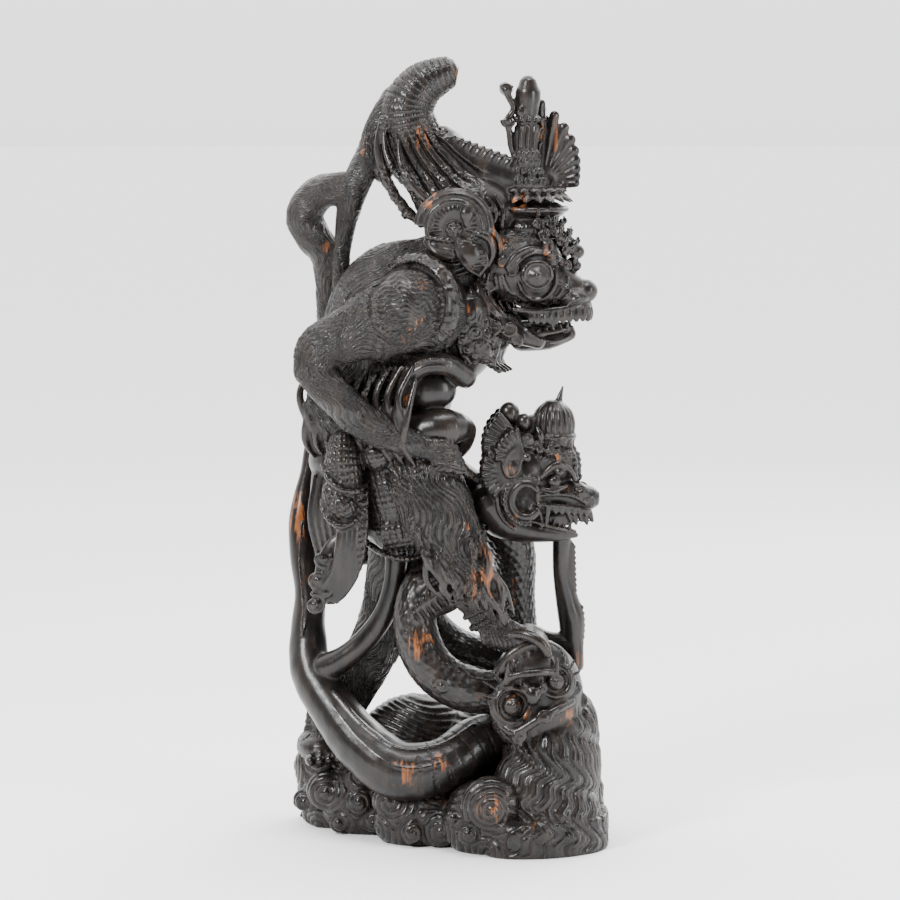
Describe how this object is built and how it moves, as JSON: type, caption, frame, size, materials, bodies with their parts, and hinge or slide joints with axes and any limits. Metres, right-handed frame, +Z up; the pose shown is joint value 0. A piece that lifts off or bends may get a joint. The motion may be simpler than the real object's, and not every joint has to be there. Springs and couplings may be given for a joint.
{
  "type": "wood carving",
  "caption": "Carved dark hardwood figure group: a crowned monkey warrior stands over a fallen demon head and grips a crested serpent that coils round the warrior.",
  "frame": {"origin": "middle of the carving's outline, on the flat underside that it stands on", "axes": "+Z up, +X the way the warrior and the serpent face, -Y the side carved in full that the picture shows"},
  "size_m": [0.2423, 0.1814, 0.588],
  "materials": {
    "dark_ebony": "hand polished near-black hardwood with orange-brown streaks of sapwood, semi-gloss"
  },
  "bodies": {
    "root": {"hanuman_and_naga_carving": "dark_ebony"}
  },
  "joints": []
}
